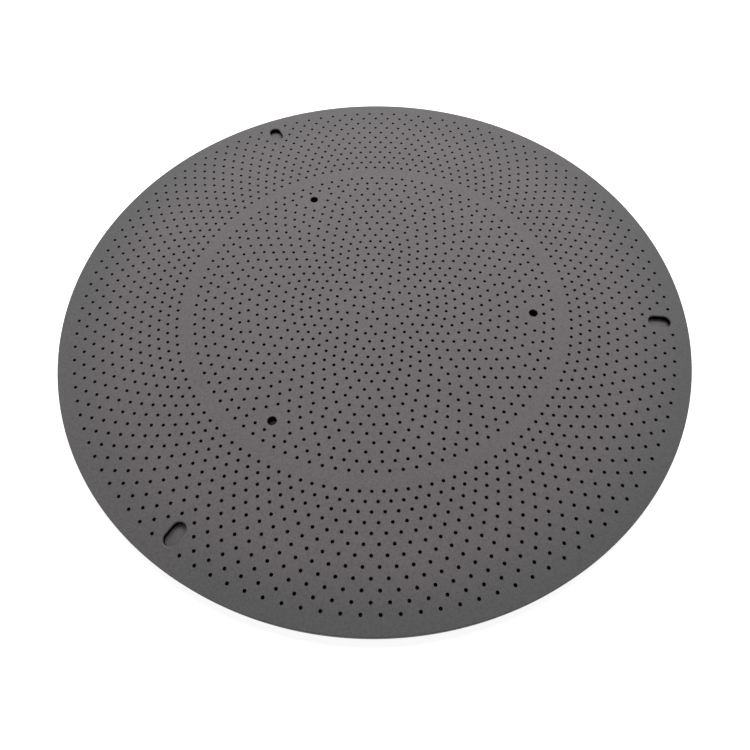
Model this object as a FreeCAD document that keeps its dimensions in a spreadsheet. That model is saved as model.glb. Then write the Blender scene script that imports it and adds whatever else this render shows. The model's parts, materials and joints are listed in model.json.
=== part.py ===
"""Coated graphite disc for carrying a large wafer in a process chamber.

One turned piece: a flat round plate with broken rims, drilled right through with small gas
holes on rings about its centre. Three larger holes let lift pins through, and three blind slots
near the rim locate it. The slots and the lift-pin holes lie on the same three radial lines.

Frame: origin at the centre of the underside, +Z up through the disc, +X along one slot.
"""

import FreeCAD
import Part
import Sketcher

import math
import os

PART_NAME = "perforated_disc"
SHEET_NAME = "sizes"

# Driving dimensions in millimetres, and counts
SIZES = {
    "thickness": 6.0,
    "rim_bevel": 0.4,
    "rim_margin": 9.0,
    "first_ring_radius": 6.5,
    "ring_pitch": 5.0,
    "gas_hole_diameter": 1.8,
    "drill_overrun": 1.0,
    "lift_circle_radius": 90.5,
    "lift_hole_diameter": 4.8,
    "slot_length": 12.0,
    "slot_width": 7.0,
    "slot_depth": 3.0,
    "slot_bevel": 0.8,
    "slot_rim_gap": 9.0,
    "spoke_count": 3,
}

# The drilling plan. Rings 1 to 33 of gas holes lie one pitch apart on the disc, ring 21 is left
# plain, and each ring is turned by half a space against the one before. These are the holes that
# the whole plan has on the rings drilled here: each fourth ring out to the last.
RING_STEP = 4
RING_HOLES = {5: 24, 9: 48, 13: 60, 17: 72, 25: 120, 29: 120, 33: 120}
OUTER_RING = max(RING_HOLES)

# To keep the facets few, the solid has each second hole of those rings, turned by one space on
# alternate rings, so that each lies at a true place of the plan, and a gas hole has flat sides
HOLE_STEP = 2
GAS_HOLE_SIDES = 8

FULL_TURN = 360.0
TOUCH = 0.001
VOLUME_SLACK = 0.00001


def cell(name):
    """Expression that reads one cell of the sheet."""
    return f"{SHEET_NAME}.{name}"


def ring_radius(ring):
    """Expression for the radius of one ring of gas holes."""
    return f"({cell('first_ring_radius')} + {ring - 1} * {cell('ring_pitch')})"


# The rim lies one margin outside the outermost ring
RIM_RADIUS = f"({ring_radius(OUTER_RING)} + {cell('rim_margin')})"


def make_sheet(doc):
    """Put the driving dimensions into a spreadsheet, one named cell each."""
    sheet = doc.addObject("Spreadsheet::Sheet", SHEET_NAME)
    for row, (name, value) in enumerate(SIZES.items(), start=1):
        sheet.set(f"A{row}", name)
        sheet.set(f"B{row}", str(value))
        sheet.setAlias(f"B{row}", name)
    for ring, holes in RING_HOLES.items():
        row += 1
        name = ring_cell(ring)
        sheet.set(f"A{row}", name)
        sheet.set(f"B{row}", str(holes // HOLE_STEP))
        sheet.setAlias(f"B{row}", name)
    doc.recompute()
    return sheet


def ring_cell(ring):
    """Name of the cell that holds how many gas holes one ring gets here."""
    return f"holes_on_ring_{ring}"


def origin_part(body, role):
    """Plane or axis of the body's own origin, by its role."""
    return next(item for item in body.Origin.OriginFeatures if item.Role == role)


def bind(sketch, index, name, expression):
    """Name a dimension of a sketch and tie it to the sheet."""
    sketch.renameConstraint(index, name)
    sketch.setExpression(f"Constraints.{name}", expression)


def top_sketch(body, name):
    """Empty sketch on the disc's upper face."""
    sketch = body.newObject("Sketcher::SketchObject", name)
    sketch.AttachmentSupport = [(origin_part(body, "XY_Plane"), "")]
    sketch.MapMode = "FlatFace"
    sketch.setExpression("AttachmentOffset.Base.z", cell("thickness"))
    return sketch


def lift_hole_sketch(body):
    """Sketch of one lift-pin hole, on the X axis."""
    sketch = top_sketch(body, "lift_hole_outline")
    centre = FreeCAD.Vector(SIZES["lift_circle_radius"], 0, 0)
    radius = SIZES["lift_hole_diameter"] / 2
    circle = sketch.addGeometry(Part.Circle(centre, FreeCAD.Vector(0, 0, 1), radius), False)
    sketch.addConstraint(Sketcher.Constraint("PointOnObject", circle, 3, -1))
    index = sketch.addConstraint(Sketcher.Constraint("DistanceX", -1, 1, circle, 3, centre.x))
    bind(sketch, index, "place", cell("lift_circle_radius"))
    index = sketch.addConstraint(Sketcher.Constraint("Diameter", circle, 2 * radius))
    bind(sketch, index, "diameter", cell("lift_hole_diameter"))
    return sketch


def slot_sketch(body):
    """Sketch of one round-ended slot along the X axis, placed from the rim."""
    sketch = top_sketch(body, "slot_outline")
    normal = FreeCAD.Vector(0, 0, 1)
    end_radius = SIZES["slot_width"] / 2
    travel = SIZES["slot_length"] - SIZES["slot_width"]
    # Drawn at the lift-pin circle first, and carried out to its place by its dimensions
    outer = FreeCAD.Vector(SIZES["lift_circle_radius"], 0, 0)
    inner = outer - FreeCAD.Vector(travel, 0, 0)
    side = FreeCAD.Vector(0, end_radius, 0)
    quarter = math.pi / 2
    outer_end = sketch.addGeometry(
        Part.ArcOfCircle(Part.Circle(outer, normal, end_radius), -quarter, quarter), False
    )
    inner_end = sketch.addGeometry(
        Part.ArcOfCircle(Part.Circle(inner, normal, end_radius), quarter, 3 * quarter), False
    )
    upper = sketch.addGeometry(Part.LineSegment(outer + side, inner + side), False)
    lower = sketch.addGeometry(Part.LineSegment(inner - side, outer - side), False)
    for first, first_point, second, second_point in (
        (outer_end, 2, upper, 1),
        (upper, 2, inner_end, 1),
        (inner_end, 2, lower, 1),
        (lower, 2, outer_end, 1),
    ):
        sketch.addConstraint(
            Sketcher.Constraint("Tangent", first, first_point, second, second_point)
        )
    sketch.addConstraint(Sketcher.Constraint("Equal", outer_end, inner_end))
    sketch.addConstraint(Sketcher.Constraint("PointOnObject", outer_end, 3, -1))
    sketch.addConstraint(Sketcher.Constraint("PointOnObject", inner_end, 3, -1))
    index = sketch.addConstraint(Sketcher.Constraint("Radius", outer_end, end_radius))
    bind(sketch, index, "end_radius", f"{cell('slot_width')} / 2")
    index = sketch.addConstraint(
        Sketcher.Constraint("DistanceX", inner_end, 3, outer_end, 3, travel)
    )
    bind(sketch, index, "travel", f"{cell('slot_length')} - {cell('slot_width')}")
    index = sketch.addConstraint(Sketcher.Constraint("DistanceX", -1, 1, outer_end, 3, outer.x))
    bind(
        sketch,
        index,
        "outer_centre",
        f"{RIM_RADIUS} - {cell('slot_rim_gap')} - {cell('slot_width')} / 2",
    )
    return sketch


def cut(body, name, sketch, depth=None):
    """Pocket from the upper face, to a depth or right through."""
    pocket = body.newObject("PartDesign::Pocket", name)
    pocket.Profile = sketch
    if depth is None:
        pocket.Type = "ThroughAll"
    else:
        pocket.Type = "Length"
        pocket.setExpression("Length", depth)
    return pocket


def repeat_round(body, pocket, name, count):
    """Repeat a pocket evenly about the disc's axis."""
    pattern = body.newObject("PartDesign::PolarPattern", name)
    pattern.Originals = [pocket]
    pattern.Axis = (origin_part(body, "Z_Axis"), [""])
    pattern.Angle = FULL_TURN
    pattern.setExpression("Occurrences", count)
    body.Tip = pattern
    return pattern


def make_blank(body):
    """Turned blank: a round plate with both rims bevelled."""
    outline = body.newObject("Sketcher::SketchObject", "blank_outline")
    outline.AttachmentSupport = [(origin_part(body, "XY_Plane"), "")]
    outline.MapMode = "FlatFace"
    circle = outline.addGeometry(
        Part.Circle(FreeCAD.Vector(0, 0, 0), FreeCAD.Vector(0, 0, 1), 1.0), False
    )
    outline.addConstraint(Sketcher.Constraint("Coincident", circle, 3, -1, 1))
    index = outline.addConstraint(Sketcher.Constraint("Radius", circle, 1.0))
    bind(outline, index, "radius", RIM_RADIUS)
    plate = body.newObject("PartDesign::Pad", "blank")
    plate.Profile = outline
    plate.setExpression("Length", cell("thickness"))
    body.Document.recompute()

    rims = [
        f"Edge{number}"
        for number, edge in enumerate(plate.Shape.Edges, start=1)
        if isinstance(edge.Curve, Part.Circle)
    ]
    bevel = body.newObject("PartDesign::Chamfer", "bevelled_rims")
    bevel.Base = (plate, rims)
    bevel.setExpression("Size", cell("rim_bevel"))


def drill_lift_holes(body):
    """Three holes that lift pins rise through, on the slots' radial lines."""
    pocket = cut(body, "lift_hole", lift_hole_sketch(body))
    repeat_round(body, pocket, "lift_holes", cell("spoke_count"))


def mill_slots(body):
    """Three blind radial slots near the rim, their mouths bevelled."""
    pocket = cut(body, "slot", slot_sketch(body), cell("slot_depth"))
    slots = repeat_round(body, pocket, "slots", cell("spoke_count"))
    body.Document.recompute()

    # Of the edges on the upper face only those round the slots have ends
    mouths = [
        f"Edge{number}"
        for number, edge in enumerate(slots.Shape.Edges, start=1)
        if on_upper_face(edge) and not edge.isClosed()
    ]
    bevel = body.newObject("PartDesign::Chamfer", "bevelled_slot_mouths")
    bevel.Base = (slots, mouths)
    bevel.setExpression("Size", cell("slot_bevel"))


def on_upper_face(edge):
    """Whether an edge lies flat on the disc's upper face."""
    return edge.BoundBox.ZMin > SIZES["thickness"] - TOUCH


def make_gas_drill(doc):
    """One gas hole as a solid, from under the disc to above it, its flats a drill's width apart."""
    drill = doc.addObject("Part::Prism", "gas_drill")
    drill.Polygon = GAS_HOLE_SIDES
    half_side = FULL_TURN / 2 / GAS_HOLE_SIDES
    drill.setExpression("Circumradius", f"{cell('gas_hole_diameter')} / 2 / cos({half_side})")
    drill.setExpression("Height", f"{cell('thickness')} + 2 * {cell('drill_overrun')}")
    drill.setExpression("Placement.Base.z", f"-{cell('drill_overrun')}")
    doc.recompute()
    return drill


def make_gas_holes(doc, sheet, drill):
    """The gas hole copied to the centre and round every drilled ring."""
    axis = FreeCAD.Vector(0, 0, 1)
    centre = FreeCAD.Vector(0, 0, 0)
    holes = [drill.Shape.copy()]
    for ring in RING_HOLES:
        radius = sheet.get("first_ring_radius") + (ring - 1) * sheet.get("ring_pitch")
        count = round(sheet.get(ring_cell(ring)))
        space = FULL_TURN / count
        staggered = (OUTER_RING - ring) // RING_STEP % 2 == 0
        start = space / 2 if staggered else 0.0
        for place in range(count):
            hole = drill.Shape.copy()
            hole.translate(FreeCAD.Vector(radius, 0, 0))
            hole.rotate(centre, axis, start + place * space)
            holes.append(hole)
    gas_holes = doc.addObject("Part::Feature", "gas_holes")
    gas_holes.Shape = Part.makeCompound(holes)
    gas_holes.Placement = FreeCAD.Placement()
    return gas_holes


def blank_volume(sheet):
    """Volume of the disc before its gas holes, worked out from the sheet."""
    value = {name: sheet.get(name) for name in SIZES}
    depth = value["thickness"]
    rim_radius = (
        value["first_ring_radius"]
        + (OUTER_RING - 1) * value["ring_pitch"]
        + value["rim_margin"]
    )
    blank = math.pi * rim_radius**2 * depth
    # A bevel takes a triangle off an edge, its centre a third of the bevel from the wall
    corner = value["rim_bevel"] ** 2 / 2
    rims = 2 * corner * 2 * math.pi * (rim_radius - value["rim_bevel"] / 3)
    lift_hole = math.pi * (value["lift_hole_diameter"] / 2) ** 2 * depth
    travel = value["slot_length"] - value["slot_width"]
    slot_area = math.pi * (value["slot_width"] / 2) ** 2 + travel * value["slot_width"]
    mouth_turn = 2 * math.pi * (value["slot_width"] / 2 + value["slot_bevel"] / 3)
    mouth = value["slot_bevel"] ** 2 / 2 * (mouth_turn + 2 * travel)
    slot = slot_area * value["slot_depth"] + mouth
    return blank - rims - value["spoke_count"] * (lift_hole + slot)


def gas_hole_volume(sheet):
    """Volume that all the gas holes take out of the disc."""
    hole_count = 1 + sum(round(sheet.get(ring_cell(ring))) for ring in RING_HOLES)
    flats = GAS_HOLE_SIDES * math.tan(math.pi / GAS_HOLE_SIDES)
    return hole_count * flats * (sheet.get("gas_hole_diameter") / 2) ** 2 * sheet.get("thickness")


def check_features(doc):
    """Stop with a plain message if a feature failed."""
    for item in doc.Objects:
        if {"Invalid", "Error"} & set(item.State):
            raise RuntimeError(f"{item.Name} failed: {item.State}")


def check_solid(part, expected):
    """Stop with a plain message if the part isn't one good solid or a cut missed it."""
    shape = part.Shape
    if shape.isNull() or not shape.isValid():
        raise RuntimeError(f"{part.Label} has no valid shape")
    if len(shape.Solids) != 1:
        raise RuntimeError(f"{part.Label} has {len(shape.Solids)} solids")
    if abs(shape.Volume - expected) > VOLUME_SLACK * expected:
        raise RuntimeError(f"{part.Label} has {shape.Volume:.0f} mm3, not {expected:.0f}")


def main():
    """Build the disc and write its STEP file."""
    doc = FreeCAD.newDocument("coated_graphite_disc")
    sheet = make_sheet(doc)
    blank = doc.addObject("PartDesign::Body", "turned_disc")
    make_blank(blank)
    drill_lift_holes(blank)
    mill_slots(blank)

    disc = doc.addObject("Part::Cut", PART_NAME)
    disc.Label = PART_NAME
    disc.Base = blank
    disc.Tool = make_gas_holes(doc, sheet, make_gas_drill(doc))
    disc.Placement = FreeCAD.Placement()
    doc.recompute()
    check_features(doc)
    expected = blank_volume(sheet)
    check_solid(blank, expected)
    check_solid(disc, expected - gas_hole_volume(sheet))

    os.makedirs("parts", exist_ok=True)
    disc.Shape.exportStep(f"parts/{disc.Label}.step")
    box = disc.Shape.BoundBox
    print(f"{disc.Label}: {box.XLength:.2f} x {box.YLength:.2f} x {box.ZLength:.2f} mm")


main()
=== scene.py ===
"""Coated graphite disc: the drilled carrier plate in its matt coating, on a white studio floor."""

import json
import math

import bpy
from bpy.props import FloatProperty, FloatVectorProperty, IntProperty, PointerProperty
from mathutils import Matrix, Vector

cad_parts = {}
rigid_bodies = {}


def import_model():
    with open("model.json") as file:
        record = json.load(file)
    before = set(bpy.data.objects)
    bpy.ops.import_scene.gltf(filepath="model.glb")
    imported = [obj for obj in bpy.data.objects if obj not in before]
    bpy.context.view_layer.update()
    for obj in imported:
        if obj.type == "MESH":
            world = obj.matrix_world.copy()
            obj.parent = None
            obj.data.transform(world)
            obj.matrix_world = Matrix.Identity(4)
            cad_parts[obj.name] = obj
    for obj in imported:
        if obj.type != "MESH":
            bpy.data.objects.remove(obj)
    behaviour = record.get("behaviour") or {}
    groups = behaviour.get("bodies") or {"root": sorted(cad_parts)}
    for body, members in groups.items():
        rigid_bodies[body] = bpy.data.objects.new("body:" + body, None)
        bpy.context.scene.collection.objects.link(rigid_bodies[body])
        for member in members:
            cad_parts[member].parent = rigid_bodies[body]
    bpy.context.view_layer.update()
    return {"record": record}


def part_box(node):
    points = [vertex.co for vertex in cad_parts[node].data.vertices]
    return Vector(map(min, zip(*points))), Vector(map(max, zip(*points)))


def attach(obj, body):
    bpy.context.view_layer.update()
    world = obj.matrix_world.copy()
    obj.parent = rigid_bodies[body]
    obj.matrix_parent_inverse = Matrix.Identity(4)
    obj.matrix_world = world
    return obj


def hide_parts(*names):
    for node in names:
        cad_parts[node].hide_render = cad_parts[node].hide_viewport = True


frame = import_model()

bl_info = {
    "name": "Coated graphite disc",
    "version": (1, 0, 0),
    "blender": (4, 5, 0),
    "location": "3D View > Sidebar > Disc",
    "description": "Drills and coats the carrier disc around its frame, and sets its stage",
    "category": "Object",
}

DISC_NODE = "perforated_disc"
BODY = "root"
MOUNTS = {mount["name"]: mount for mount in frame["record"]["mounts"]}
HIGH_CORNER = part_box(DISC_NODE)[1]

MM = 0.001
FULL_TURN = 2 * math.pi
QUARTER_TURN = math.pi / 2
UP = (0.0, 0.0, 1.0)
BACK = (0.0, 1.0, 0.0)
LEVEL = (1.0, 1.0, 0.0)

# The drilling plan from the centre outwards: the last ring of each band, and the gas holes on
# each ring of that band. Ring 21 is left plain.
RING_BANDS = (
    (1, 6),
    (3, 12),
    (5, 24),
    (7, 36),
    (11, 48),
    (14, 60),
    (18, 72),
    (20, 96),
    (21, 0),
    (33, 120),
)

# Sides of the round shapes, and steps over their roundings
RIM_SIDES = 360
RIM_STEPS = 4
GAS_HOLE_SIDES = 16
LIFT_HOLE_SIDES = 48
SLOT_SIDES = 64
MOUTH_STEPS = 4
FOOT_STEPS = 2

# How far a drill runs clear of the disc, how near two heights are to be one, how far up the normal
# of a level face points at least, and how the finished faces are shaded
OVERRUN = 1.0 * MM
TOUCH = 0.01 * MM
LEVEL_LEAN = 0.5
SMOOTH_ANGLE = math.radians(30)
FLAT_FACE_WEIGHT = 100

# Band inside the rim's wall and under a slot's floor that stays free of the painted shade in the
# recesses
EDGE_BAND = 0.1 * MM

# The coating's noises: how fine each goes, and which part of its range from 0 to 1 counts
DRIFT_DETAIL = 2.0
DRIFT_BAND = (0.35, 0.65)
GRAIN_DETAIL = 3.0
GRAIN_GAP_BAND = (0.62, 0.30)
CRYSTAL_DETAIL = 1.0
NOISE_MEAN = 0.5

# How much of the relief the grain and the crystals make, and how far the crystals move the gloss
GRAIN_SHARE = 0.7
CRYSTAL_SHARE = 0.3
RELIEF_STRENGTH = 0.5
ROUGHNESS_SPREAD = 0.30
COATING_IOR = 1.5

WHITE = (1.0, 1.0, 1.0)
SENSOR_WIDTH = 36.0


class DiscSizes(bpy.types.PropertyGroup):
    """Sizes of the disc and of what is drilled and milled in it."""

    rim_radius: FloatProperty(
        name="Rim radius",
        description="Radius of the disc",
        default=HIGH_CORNER.x,
        unit="LENGTH",
    )
    thickness: FloatProperty(
        name="Thickness",
        description="Height of the disc's flat face above its underside",
        default=HIGH_CORNER.z,
        unit="LENGTH",
    )
    rim_rounding: FloatProperty(
        name="Rim rounding",
        description="Radius at both rims",
        default=0.4 * MM,
        unit="LENGTH",
    )
    first_ring_radius: FloatProperty(
        name="First ring",
        description="Radius of the innermost ring of gas holes",
        default=6.5 * MM,
        unit="LENGTH",
    )
    ring_pitch: FloatProperty(
        name="Ring pitch",
        description="Distance from one ring of gas holes to the next",
        default=5.0 * MM,
        unit="LENGTH",
    )
    gas_hole_diameter: FloatProperty(
        name="Gas hole",
        description="Diameter of each gas hole",
        default=1.8 * MM,
        unit="LENGTH",
    )
    spokes: IntProperty(
        name="Spokes",
        description="Radial lines that carry a lift-pin hole and a slot",
        default=3,
        min=1,
    )
    lift_circle_radius: FloatProperty(
        name="Lift circle",
        description="Radius of the circle of lift-pin holes",
        default=MOUNTS["lift_hole_right"]["pos_m"][0],
        unit="LENGTH",
    )
    lift_hole_radius: FloatProperty(
        name="Lift hole",
        description="Radius of each lift-pin hole",
        default=MOUNTS["lift_hole_right"]["dims"]["r_mm"] * MM,
        unit="LENGTH",
    )
    slot_circle_radius: FloatProperty(
        name="Slot circle",
        description="Radius of the circle through the middle of the slots",
        default=MOUNTS["slot_right"]["pos_m"][0],
        unit="LENGTH",
    )
    slot_length: FloatProperty(
        name="Slot length",
        description="Length of each slot along the disc's radius",
        default=12.0 * MM,
        unit="LENGTH",
    )
    slot_width: FloatProperty(
        name="Slot width",
        description="Width of each slot between its straight walls",
        default=7.0 * MM,
        unit="LENGTH",
    )
    slot_floor: FloatProperty(
        name="Slot floor",
        description="Height of the slot's floor above the disc's underside",
        default=MOUNTS["slot_right"]["pos_m"][2],
        unit="LENGTH",
    )
    lift_hole_rounding: FloatProperty(
        name="Lift hole rounding",
        description="Radius at both mouths of the lift-pin holes",
        default=0.15 * MM,
        unit="LENGTH",
    )
    slot_rounding: FloatProperty(
        name="Slot rounding",
        description="Radius round the mouth of the slots",
        default=0.8 * MM,
        unit="LENGTH",
    )
    foot_rounding: FloatProperty(
        name="Foot rounding",
        description="Radius where a slot's wall meets its floor",
        default=0.25 * MM,
        unit="LENGTH",
    )
    clear_zone: FloatProperty(
        name="Clear zone",
        description="No gas hole is drilled nearer than this to a lift-pin hole or slot",
        default=5.0 * MM,
        unit="LENGTH",
    )


class CoatingLook(bpy.types.PropertyGroup):
    """Colours and grain of the coating."""

    warm_grey: FloatVectorProperty(
        name="Warm grey",
        description="One of the two greys that the coating drifts between",
        default=(0.1166, 0.0991, 0.1073),
        subtype="COLOR",
        size=3,
    )
    cool_grey: FloatVectorProperty(
        name="Cool grey",
        description="The other grey that the coating drifts between",
        default=(0.1084, 0.0950, 0.1032),
        subtype="COLOR",
        size=3,
    )
    grain_shade: FloatVectorProperty(
        name="Grain shade",
        description="What is left of the coating's grey between its grains",
        default=(0.66, 0.70, 0.68),
        subtype="COLOR",
        size=3,
    )
    # Painted shade: a darker grey towards the rim, where less light falls on the near side
    rim_shade_grey: FloatVectorProperty(
        name="Rim grey",
        description="Grey of the coating outside the last holes",
        default=(0.0741, 0.0714, 0.0733),
        subtype="COLOR",
        size=3,
    )
    # Painted shade: a near-black grey laid on the walls of holes and slots, where the light does
    # not reach
    recess_shade_grey: FloatVectorProperty(
        name="Recess grey",
        description="Thin dark coating on the walls of holes and slots",
        default=(0.006, 0.006, 0.006),
        subtype="COLOR",
        size=3,
    )
    # Depths over which the painted shade on the walls of holes and slots sets in
    recess_start: FloatProperty(
        name="Recess from",
        description="Depth in a hole at which the coating begins to thin out",
        default=0.05 * MM,
        unit="LENGTH",
    )
    recess_depth: FloatProperty(
        name="Recess to",
        description="Depth in a hole at which the coating has thinned out",
        default=1.4 * MM,
        unit="LENGTH",
    )
    # Where the painted shade on the rim lies: it grows towards the rim, and fades out towards the
    # back and towards the front left
    rim_start: FloatProperty(
        name="Rim tone from",
        description="Radius at which the coating begins to darken",
        default=140.0 * MM,
        unit="LENGTH",
    )
    rim_end: FloatProperty(
        name="Rim tone to",
        description="Radius at which the rim's grey is reached",
        default=175.0 * MM,
        unit="LENGTH",
    )
    back_start: FloatProperty(
        name="Back fade from",
        description="Distance behind the centre at which the rim's grey begins to fade",
        default=60.0 * MM,
        unit="LENGTH",
    )
    back_end: FloatProperty(
        name="Back fade to",
        description="Distance behind the centre at which the rim's grey is gone",
        default=260.0 * MM,
        unit="LENGTH",
    )
    left_turn: FloatProperty(
        name="Left fade",
        description="Direction in which the rim's grey also fades, turned from the X axis",
        default=math.radians(215),
        unit="ROTATION",
    )
    left_start: FloatProperty(
        name="Left fade from",
        description="Distance in that direction at which the rim's grey begins to fade",
        default=125.0 * MM,
        unit="LENGTH",
    )
    left_end: FloatProperty(
        name="Left fade to",
        description="Distance in that direction at which the rim's grey is gone",
        default=220.0 * MM,
        unit="LENGTH",
    )
    drift_size: FloatProperty(
        name="Drift",
        description="Size of the patches of warm and cool grey",
        default=45.0 * MM,
        unit="LENGTH",
    )
    grain_size: FloatProperty(
        name="Grain",
        description="Size of the coating's grains",
        default=0.80 * MM,
        unit="LENGTH",
    )
    crystal_size: FloatProperty(
        name="Crystals",
        description="Size of the fine crystals on the grains",
        default=0.12 * MM,
        unit="LENGTH",
    )
    relief: FloatProperty(
        name="Relief",
        description="Height of the grain",
        default=0.02 * MM,
        unit="LENGTH",
    )
    roughness: FloatProperty(
        name="Roughness",
        description="Mean roughness of the coating",
        default=0.68,
        min=0.0,
        max=1.0,
    )


class StageSetup(bpy.types.PropertyGroup):
    """Floor, light and camera."""

    floor_side: FloatProperty(
        name="Floor",
        description="Side of the floor",
        default=6.0,
        unit="LENGTH",
    )
    floor_white: FloatProperty(
        name="Floor white",
        description="How much of the light the floor gives back",
        default=0.82,
        min=0.0,
        max=1.0,
    )
    floor_lift: FloatProperty(
        name="Floor lift",
        description="Light added to the open floor where it is seen",
        default=0.86,
    )
    lift_width: FloatProperty(
        name="Lift width",
        description="Width of the band under the disc's rim over which that light sets in",
        default=4.0 * MM,
        unit="LENGTH",
    )
    shadow_reach: FloatProperty(
        name="Shadow reach",
        description="Distance from the rim beyond which the floor takes no shadow",
        default=0.40,
        unit="LENGTH",
    )
    room_light: FloatProperty(
        name="Room light",
        description="Strength of the even light from all round",
        default=0.12,
    )
    lamp_place: FloatVectorProperty(
        name="Lamp",
        description="Place of the soft lamp, behind the disc and above it",
        default=(-0.03, 0.75, 1.05),
        subtype="TRANSLATION",
        unit="LENGTH",
        size=3,
    )
    lamp_width: FloatProperty(
        name="Lamp width",
        description="Width of the lamp",
        default=1.60,
        unit="LENGTH",
    )
    lamp_height: FloatProperty(
        name="Lamp height",
        description="Height of the lamp",
        default=0.60,
        unit="LENGTH",
    )
    lamp_power: FloatProperty(
        name="Lamp power",
        description="Power of the lamp",
        default=21.4,
        unit="POWER",
    )
    camera_place: FloatVectorProperty(
        name="Camera",
        description="Place of the camera",
        default=(0.0196421, -0.1983303, 0.274071),
        subtype="TRANSLATION",
        unit="LENGTH",
        size=3,
    )
    camera_turn: FloatVectorProperty(
        name="Camera turn",
        description="Tilt, roll and turn of the camera",
        default=tuple(math.radians(angle) for angle in (29.49338, 0.39721, 4.91327)),
        subtype="EULER",
        unit="ROTATION",
        size=3,
    )
    lens: FloatProperty(
        name="Lens",
        description="Focal length in millimetres, for a sensor 36 mm wide",
        default=27.793,
    )


class Wire:
    """Output of a shader node. Python's operators on it add Math nodes."""

    def __init__(self, network, socket):
        self.network = network
        self.socket = socket

    def maths(self, operation, first, second):
        return self.network.node(
            "ShaderNodeMath", {"operation": operation}, {0: first, 1: second}
        )

    def __add__(self, other):
        return self.maths("ADD", self, other)

    def __radd__(self, other):
        return self.maths("ADD", other, self)

    def __sub__(self, other):
        return self.maths("SUBTRACT", self, other)

    def __rsub__(self, other):
        return self.maths("SUBTRACT", other, self)

    def __mul__(self, other):
        return self.maths("MULTIPLY", self, other)

    def __rmul__(self, other):
        return self.maths("MULTIPLY", other, self)


class Network:
    """Nodes of one material or of the world."""

    def __init__(self, owner):
        owner.use_nodes = True
        self.tree = owner.node_tree
        self.tree.nodes.clear()

    def node(self, kind, settings=None, values=None, output=0):
        """Add a node: its settings first, then the values or links of its sockets."""
        made = self.tree.nodes.new(kind)
        for name, setting in (settings or {}).items():
            setattr(made, name, setting)
        for name, value in (values or {}).items():
            socket = self.find(made.inputs, name)
            if isinstance(value, Wire):
                self.tree.links.new(value.socket, socket)
            else:
                socket.default_value = value
        return Wire(self, self.find(made.outputs, output)) if made.outputs else None

    def find(self, sockets, name):
        """Socket by its number, or by its name among those in use."""
        if isinstance(name, int):
            return sockets[name]
        return next(item for item in sockets if item.name == name and not item.is_unavailable)

    def mix(self, amount, first, second, blend="MIX"):
        """Blend of two colours."""
        return self.node(
            "ShaderNodeMix",
            {"data_type": "RGBA", "blend_type": blend},
            {"Factor": amount, "A": first, "B": second},
            "Result",
        )

    def band(self, value, start, end):
        """0 below the start, 1 above the end, and smooth between them."""
        return self.node(
            "ShaderNodeMapRange",
            {"interpolation_type": "SMOOTHSTEP"},
            {"Value": value, "From Min": start, "From Max": end},
            "Result",
        )

    def noise(self, place, size, detail):
        """Even noise from 0 to 1 with patches of a size."""
        return self.node(
            "ShaderNodeTexNoise",
            {"normalize": True},
            {"Vector": place, "Scale": 1 / size, "Detail": detail},
            "Fac",
        )

    def radius(self, place):
        """Distance from the disc's axis."""
        flat = self.node(
            "ShaderNodeVectorMath", {"operation": "MULTIPLY"}, {0: place, 1: LEVEL}
        )
        return self.node("ShaderNodeVectorMath", {"operation": "LENGTH"}, {0: flat}, "Value")

    def along(self, place, direction):
        """Distance in one direction from the centre of the disc's underside."""
        return self.node(
            "ShaderNodeVectorMath", {"operation": "DOT_PRODUCT"}, {0: place, 1: direction}, "Value"
        )

    def object_place(self):
        """Place on the object."""
        return self.node("ShaderNodeTexCoord", output="Object")

    def shown(self):
        """1 for what is seen, straight, in a gloss or through glass, and 0 for what lights."""
        rays = [
            self.node("ShaderNodeLightPath", output=f"Is {kind} Ray")
            for kind in ("Camera", "Glossy", "Transmission")
        ]
        return sum(rays[1:], rays[0])

    def show(self, shader, output_kind):
        self.node(output_kind, None, {"Surface": shader})


def opaque(colour):
    """Colour with its alpha, as a shader's socket takes it."""
    return (*colour, 1.0)


def new_piece(name):
    """Name the primitive that was just added, and put its place into its mesh."""
    piece = bpy.context.object
    piece.name = name
    piece.data.name = name
    bpy.ops.object.transform_apply(location=True, rotation=True, scale=True)
    return piece


def add_round(name, sides, radius, bottom, top, centre=0.0):
    """Upright cylinder between two heights, on the X axis."""
    bpy.ops.object.select_all(action="DESELECT")
    bpy.ops.mesh.primitive_cylinder_add(
        vertices=sides,
        radius=radius,
        depth=top - bottom,
        location=(centre, 0.0, (bottom + top) / 2),
        rotation=(0.0, 0.0, FULL_TURN / sides / 2),
    )
    return new_piece(name)


def edit_faces(piece, fits):
    """Open the piece for editing with only those faces selected that fit."""
    bpy.context.view_layer.objects.active = piece
    bpy.context.tool_settings.mesh_select_mode = (False, False, True)
    bpy.ops.object.mode_set(mode="EDIT")
    bpy.ops.mesh.select_all(action="DESELECT")
    bpy.ops.object.mode_set(mode="OBJECT")
    for face in piece.data.polygons:
        face.select = fits(face)
    bpy.ops.object.mode_set(mode="EDIT")


def edit_edges(piece, fits):
    """Open the piece for editing with only those edges selected whose two ends fit."""
    bpy.context.view_layer.objects.active = piece
    bpy.context.tool_settings.mesh_select_mode = (False, True, False)
    bpy.ops.object.mode_set(mode="EDIT")
    bpy.ops.mesh.select_all(action="DESELECT")
    bpy.ops.object.mode_set(mode="OBJECT")
    corners = piece.data.vertices
    for edge in piece.data.edges:
        edge.select = fits(*(corners[number].co for number in edge.vertices))
    bpy.ops.object.mode_set(mode="EDIT")


def finish_edit():
    bpy.ops.object.mode_set(mode="OBJECT")


def same_height(first, second):
    """Whether an edge lies level."""
    return abs(first.z - second.z) < TOUCH


def copy_round(piece, count):
    """Copy the whole piece evenly about the disc's axis."""
    if count < 2:
        return
    edit_faces(piece, lambda face: True)
    bpy.ops.mesh.spin(
        steps=count - 1,
        dupli=True,
        angle=FULL_TURN * (count - 1) / count,
        center=(0.0, 0.0, 0.0),
        axis=UP,
    )
    bpy.ops.mesh.select_all(action="SELECT")
    bpy.ops.mesh.normals_make_consistent(inside=False)
    finish_edit()


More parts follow.
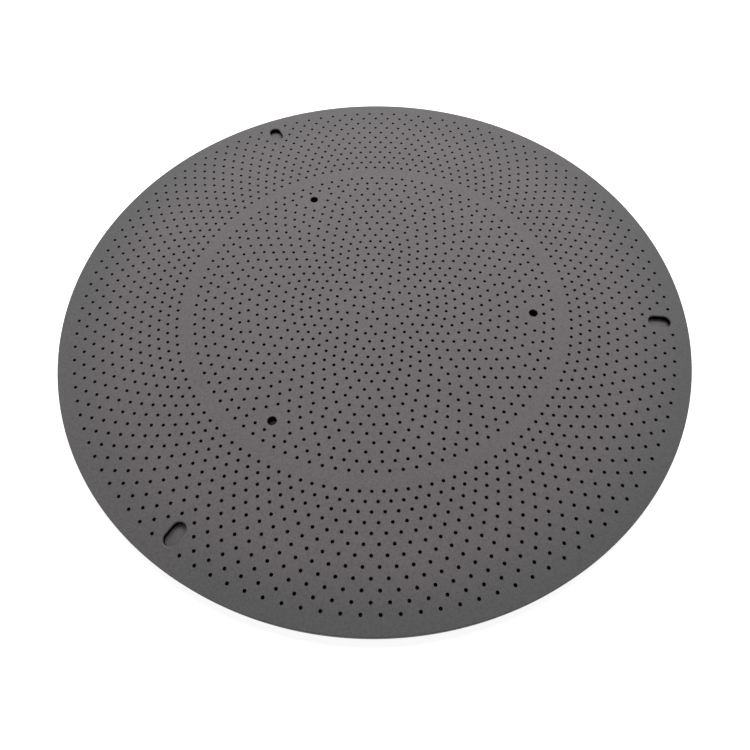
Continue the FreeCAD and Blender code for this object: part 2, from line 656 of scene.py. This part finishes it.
def flare(drill, centre, radius, rounding, side):
    """Widen one end of a round drill so that it rounds the mouth it cuts, then run it clear."""
    edit_faces(drill, lambda face: face.normal.z * side > LEVEL_LEAN)
    wide, risen = radius, 0.0
    for step in range(1, MOUTH_STEPS + 1):
        angle = QUARTER_TURN * step / MOUTH_STEPS
        next_wide = radius + rounding * (1 - math.cos(angle))
        next_risen = rounding * math.sin(angle)
        bpy.ops.mesh.extrude_region_move(
            TRANSFORM_OT_translate={"value": (0.0, 0.0, side * (next_risen - risen))}
        )
        growth = next_wide / wide
        bpy.ops.transform.resize(
            value=(growth, growth, 1.0), center_override=(centre, 0.0, 0.0)
        )
        wide, risen = next_wide, next_risen
    bpy.ops.mesh.extrude_region_move(
        TRANSFORM_OT_translate={"value": (0.0, 0.0, side * OVERRUN)}
    )
    finish_edit()


def holes_on_ring(ring):
    """How many gas holes one ring of the plan has."""
    return next(holes for last, holes in RING_BANDS if ring <= last)


def join(pieces, name):
    """Make one piece of several."""
    bpy.ops.object.select_all(action="DESELECT")
    for piece in pieces:
        piece.select_set(True)
    bpy.context.view_layer.objects.active = pieces[0]
    bpy.ops.object.join()
    joined = bpy.context.object
    joined.name = name
    return joined


def near_spoke(place, sizes):
    """Whether a gas hole there would crowd a lift-pin hole or a slot."""
    sector = FULL_TURN / sizes.spokes
    radius = math.hypot(place.x, place.y)
    angle = math.atan2(place.y, place.x)
    angle -= sector * round(angle / sector)
    along, across = radius * math.cos(angle), radius * math.sin(angle)
    half_travel = (sizes.slot_length - sizes.slot_width) / 2
    beyond = max(abs(along - sizes.slot_circle_radius) - half_travel, 0.0)
    from_lift_hole = math.hypot(along - sizes.lift_circle_radius, across)
    from_slot = math.hypot(beyond, across)
    return min(from_lift_hole, from_slot) < sizes.clear_zone


def make_gas_drills(sizes):
    """A drill for each gas hole: the centre's, and rings turned by half a space in turn."""
    bottom, top = -OVERRUN, sizes.thickness + OVERRUN
    flat = math.cos(math.pi / GAS_HOLE_SIDES)
    radius = sizes.gas_hole_diameter / 2 / flat
    drills = [add_round("centre_drill", GAS_HOLE_SIDES, radius, bottom, top)]
    for ring in range(1, RING_BANDS[-1][0] + 1):
        holes = holes_on_ring(ring)
        if not holes:
            continue
        place = sizes.first_ring_radius + (ring - 1) * sizes.ring_pitch
        drill = add_round(f"ring_{ring}_drill", GAS_HOLE_SIDES, radius, bottom, top, place)
        if ring % 2 == 0 or ring == 1:
            drill.rotation_euler.z = FULL_TURN / holes / 2
            bpy.ops.object.transform_apply(location=False, rotation=True, scale=False)
        copy_round(drill, holes)
        drills.append(drill)
    gas_drills = join(drills, "gas_drills")
    edit_faces(
        gas_drills, lambda face: face.normal.z > LEVEL_LEAN and near_spoke(face.center, sizes)
    )
    bpy.ops.mesh.select_linked(delimit=set())
    bpy.ops.mesh.delete(type="VERT")
    finish_edit()
    return gas_drills


def make_lift_drills(sizes):
    """Drills for the lift-pin holes, flared at both ends."""
    centre, radius = sizes.lift_circle_radius, sizes.lift_hole_radius
    rounding = sizes.lift_hole_rounding
    drill = add_round(
        "lift_drill", LIFT_HOLE_SIDES, radius, rounding, sizes.thickness - rounding, centre
    )
    flare(drill, centre, radius, rounding, 1)
    flare(drill, centre, radius, rounding, -1)
    copy_round(drill, sizes.spokes)
    return drill


def make_slot_mills(sizes):
    """Cutters for the blind slots: a round mill whose outer half is moved along the slot."""
    radius, rounding = sizes.slot_width / 2, sizes.slot_rounding
    travel = sizes.slot_length - sizes.slot_width
    centre = sizes.slot_circle_radius - travel / 2
    mill = add_round(
        "slot_mill", SLOT_SIDES, radius, sizes.slot_floor, sizes.thickness - rounding, centre
    )
    flare(mill, centre, radius, rounding, 1)
    foot = sizes.slot_floor + TOUCH
    edit_edges(mill, lambda first, second: same_height(first, second) and first.z < foot)
    bpy.ops.mesh.bevel(offset=sizes.foot_rounding, segments=FOOT_STEPS, affect="EDGES")
    finish_edit()
    edit_edges(mill, lambda first, second: min(first.x, second.x) > centre)
    bpy.ops.transform.translate(value=(travel, 0.0, 0.0))
    finish_edit()
    copy_round(mill, sizes.spokes)
    return mill


def cut_away(piece, cutter):
    """Take the cutter's shape out of the piece."""
    bpy.ops.object.select_all(action="DESELECT")
    bpy.context.view_layer.objects.active = piece
    piece.select_set(True)
    cut = piece.modifiers.new("cut", "BOOLEAN")
    cut.operation = "DIFFERENCE"
    cut.solver = "MANIFOLD"
    cut.object = cutter
    faces_before = len(piece.data.polygons)
    bpy.ops.object.modifier_apply(modifier=cut.name)
    if len(piece.data.polygons) <= faces_before:
        raise RuntimeError(f"{cutter.name} cut nothing from {piece.name}")
    bpy.data.objects.remove(cutter)


def smooth_edges(piece):
    """Smooth shading over the roundings, with flat faces kept flat."""
    bpy.ops.object.select_all(action="DESELECT")
    bpy.context.view_layer.objects.active = piece
    piece.select_set(True)
    bpy.ops.object.shade_smooth_by_angle(angle=SMOOTH_ANGLE)
    flat_first = piece.modifiers.new("flat_first", "WEIGHTED_NORMAL")
    flat_first.keep_sharp = True
    flat_first.weight = FLAT_FACE_WEIGHT
    bpy.ops.object.modifier_apply(modifier=flat_first.name)


def recess_shade_mask(net, place, sizes, look):
    """Where shade is painted: 1 on the walls of holes and slots, 0 on the open faces, the rim and
    the slots' floors.
    """
    height = net.along(place, UP)
    under_top = net.band(
        height, sizes.thickness - look.recess_start, sizes.thickness - look.recess_depth
    )
    over_underside = net.band(height, look.recess_start, look.recess_depth)
    inside_rim = net.band(
        net.radius(place), sizes.rim_radius - EDGE_BAND, sizes.rim_radius - sizes.rim_rounding
    )
    foot = sizes.foot_rounding
    above_floor = net.band(height, sizes.slot_floor, sizes.slot_floor + foot)
    below_floor = net.band(height, sizes.slot_floor - EDGE_BAND, sizes.slot_floor - foot)
    return under_top * over_underside * inside_rim * (above_floor + below_floor)


def make_coating(look, sizes):
    """Matt ceramic coating on graphite: fine crystals on a soft grain, a slow drift of grey, and
    painted shade on the near rim and in the holes and slots.
    """
    coating = bpy.data.materials.new("matt_coating")
    net = Network(coating)
    place = net.object_place()
    drift = net.band(net.noise(place, look.drift_size, DRIFT_DETAIL), *DRIFT_BAND)
    grain = net.noise(place, look.grain_size, GRAIN_DETAIL)
    crystals = net.noise(place, look.crystal_size, CRYSTAL_DETAIL)
    # Painted shade on the rim: darkest at the front and right, fading out towards the back and the
    # front left
    rim_shade_band = net.band(net.radius(place), look.rim_start, look.rim_end)
    rim_shade_off_back = net.band(net.along(place, BACK), look.back_end, look.back_start)
    left = (math.cos(look.left_turn), math.sin(look.left_turn), 0.0)
    rim_shade_off_left = net.band(net.along(place, left), look.left_end, look.left_start)

    grey = net.mix(drift, opaque(look.warm_grey), opaque(look.cool_grey))
    grey = net.mix(rim_shade_band * rim_shade_off_back * rim_shade_off_left, grey, opaque(look.rim_shade_grey))
    between_grains = net.band(grain, *GRAIN_GAP_BAND)
    grey = net.mix(between_grains, grey, opaque(look.grain_shade), "MULTIPLY")

    relief = net.node(
        "ShaderNodeBump",
        None,
        {
            "Strength": RELIEF_STRENGTH,
            "Distance": look.relief,
            "Height": grain * GRAIN_SHARE + crystals * CRYSTAL_SHARE,
        },
    )
    surface = net.node(
        "ShaderNodeBsdfPrincipled",
        None,
        {
            "Base Color": grey,
            "Roughness": look.roughness + (crystals - NOISE_MEAN) * ROUGHNESS_SPREAD,
            "IOR": COATING_IOR,
            "Normal": relief,
        },
    )
    # Painted shade: a near-black diffuse shader replaces the coating on the walls of holes and
    # slots
    painted_shade_shader = net.node("ShaderNodeBsdfDiffuse", None, {"Color": opaque(look.recess_shade_grey)})
    coating_with_shade = net.node(
        "ShaderNodeMixShader", None, {0: recess_shade_mask(net, place, sizes, look), 1: surface, 2: painted_shade_shader}
    )
    net.show(coating_with_shade, "ShaderNodeOutputMaterial")
    return coating


class GRAPHITE_OT_disc(bpy.types.Operator):
    """Turn, drill, mill and coat the disc"""

    bl_idname = "graphite.disc"
    bl_label = "Make the disc"

    def execute(self, context):
        sizes = context.scene.disc_sizes
        disc = add_round("drilled_disc", RIM_SIDES, sizes.rim_radius, 0.0, sizes.thickness)
        edit_edges(disc, same_height)
        bpy.ops.mesh.bevel(offset=sizes.rim_rounding, segments=RIM_STEPS, affect="EDGES")
        finish_edit()
        cut_away(disc, make_lift_drills(sizes))
        cut_away(disc, make_slot_mills(sizes))
        cut_away(disc, make_gas_drills(sizes))
        smooth_edges(disc)
        disc.data.materials.clear()
        disc.data.materials.append(make_coating(context.scene.coating_look, sizes))
        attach(disc, BODY)
        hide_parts(DISC_NODE)
        return {"FINISHED"}


def make_floor(setup, clear_radius):
    """White floor that takes the disc's shadow and reads white where it is open."""
    bpy.ops.object.select_all(action="DESELECT")
    bpy.ops.mesh.primitive_plane_add(size=setup.floor_side)
    floor = new_piece("studio_floor")
    paint = bpy.data.materials.new("white_floor")
    net = Network(paint)
    from_axis = net.radius(net.object_place())
    open_floor = net.band(from_axis, clear_radius - setup.lift_width, clear_radius)
    far_floor = net.band(from_axis, clear_radius, clear_radius + setup.shadow_reach)
    lift = open_floor * setup.floor_lift + far_floor * (1 - setup.floor_lift)
    white = opaque(setup.floor_white * part for part in WHITE)
    board = net.node("ShaderNodeBsdfDiffuse", None, {"Color": white})
    glow = net.node("ShaderNodeEmission", None, {"Strength": net.shown() * lift})
    net.show(net.node("ShaderNodeAddShader", None, {0: board, 1: glow}), "ShaderNodeOutputMaterial")
    floor.data.materials.append(paint)


def make_room(setup):
    """Even white surroundings: dim as a light, and white where they are seen."""
    room = bpy.data.worlds.new("white_room")
    bpy.context.scene.world = room
    net = Network(room)
    strength = net.shown() * (1 - setup.room_light) + setup.room_light
    sky = net.node("ShaderNodeBackground", None, {"Color": opaque(WHITE), "Strength": strength})
    net.show(sky, "ShaderNodeOutputWorld")


def make_lamp(setup):
    """One large soft lamp, aimed at the disc."""
    place = Vector(setup.lamp_place)
    bpy.ops.object.light_add(
        type="AREA", location=place, rotation=(-place).to_track_quat("-Z", "Y").to_euler()
    )
    lamp = bpy.context.object
    lamp.name = "soft_lamp"
    lamp.data.shape = "RECTANGLE"
    lamp.data.size = setup.lamp_width
    lamp.data.size_y = setup.lamp_height
    lamp.data.energy = setup.lamp_power
    lamp.visible_camera = False


def make_camera(setup):
    """Camera above the near rim, looking down on the disc."""
    bpy.ops.object.camera_add(location=setup.camera_place, rotation=setup.camera_turn)
    camera = bpy.context.object
    camera.name = "view_camera"
    camera.data.sensor_width = SENSOR_WIDTH
    camera.data.lens = setup.lens
    bpy.context.scene.camera = camera


class GRAPHITE_OT_stage(bpy.types.Operator):
    """Lay the floor, and set the light and the camera"""

    bl_idname = "graphite.stage"
    bl_label = "Set the stage"

    def execute(self, context):
        setup = context.scene.stage_setup
        make_floor(setup, context.scene.disc_sizes.rim_radius)
        make_room(setup)
        make_lamp(setup)
        make_camera(setup)
        context.scene.view_settings.view_transform = "Standard"
        return {"FINISHED"}


class GRAPHITE_PT_panel(bpy.types.Panel):
    """Sizes, looks and the steps that make the disc"""

    bl_label = "Coated graphite disc"
    bl_idname = "GRAPHITE_PT_panel"
    bl_space_type = "VIEW_3D"
    bl_region_type = "UI"
    bl_category = "Disc"

    def draw(self, context):
        scene = context.scene
        for group, step in (
            (scene.disc_sizes, None),
            (scene.coating_look, GRAPHITE_OT_disc.bl_idname),
            (scene.stage_setup, GRAPHITE_OT_stage.bl_idname),
        ):
            for name in group.bl_rna.properties.keys():
                if name not in ("rna_type", "name"):
                    self.layout.prop(group, name)
            if step:
                self.layout.operator(step)


CLASSES = (
    DiscSizes,
    CoatingLook,
    StageSetup,
    GRAPHITE_OT_disc,
    GRAPHITE_OT_stage,
    GRAPHITE_PT_panel,
)


def register():
    for item in CLASSES:
        bpy.utils.register_class(item)
    bpy.types.Scene.disc_sizes = PointerProperty(type=DiscSizes)
    bpy.types.Scene.coating_look = PointerProperty(type=CoatingLook)
    bpy.types.Scene.stage_setup = PointerProperty(type=StageSetup)


def unregister():
    del bpy.types.Scene.stage_setup
    del bpy.types.Scene.coating_look
    del bpy.types.Scene.disc_sizes
    for item in reversed(CLASSES):
        bpy.utils.unregister_class(item)


def main():
    register()
    bpy.ops.graphite.stage()
    bpy.ops.graphite.disc()


if __name__ == "__main__":
    main()
